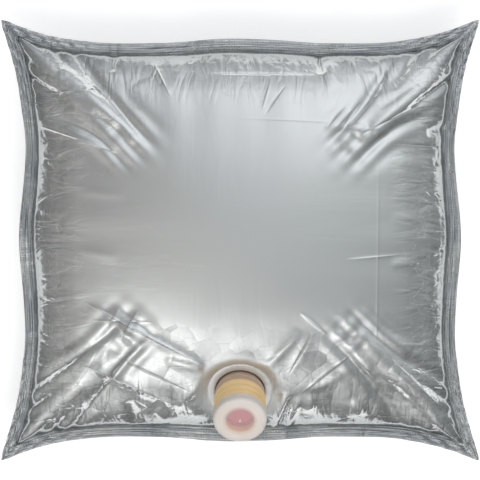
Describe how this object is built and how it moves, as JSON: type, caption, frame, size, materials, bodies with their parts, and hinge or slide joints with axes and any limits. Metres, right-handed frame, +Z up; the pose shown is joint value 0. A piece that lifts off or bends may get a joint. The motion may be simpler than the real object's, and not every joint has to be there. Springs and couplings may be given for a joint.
{
  "type": "filled liquid bladder bag",
  "caption": "Filled pillow bag of metallised film for a bag in box pack, with a capped push-in dispensing valve near one sealed edge.",
  "frame": {"origin": "on the floor below the middle of the bag's outline", "axes": "+X along the bag's longer span, -Y towards the sealed edge beside the fitment, +Z up from the floor"},
  "size_m": [0.4, 0.369, 0.1306],
  "materials": {
    "silver_film": "satin metallised film",
    "natural_plastic": "natural, satin",
    "amber_plastic": "satin",
    "red_plastic": "satin",
    "black_rubber": "matt",
    "frosted_plastic": "frosted, translucent"
  },
  "bodies": {
    "bladder": {"bag": "silver_film", "spout": "natural_plastic", "valve_body": "amber_plastic"},
    "cap": {"dust_cap": "frosted_plastic"},
    "valve": {"poppet": "red_plastic", "poppet_seal": "black_rubber"}
  },
  "joints": [
    {"name": "cap_pull", "type": "slide", "parent": "bladder", "child": "cap", "axis": [0, -0.5, 0.866], "range_m": [0, 0.03]},
    {"name": "poppet_push", "type": "slide", "parent": "bladder", "child": "valve", "axis": [0, 0.5, -0.866], "range_m": [0, 0.008]}
  ]
}
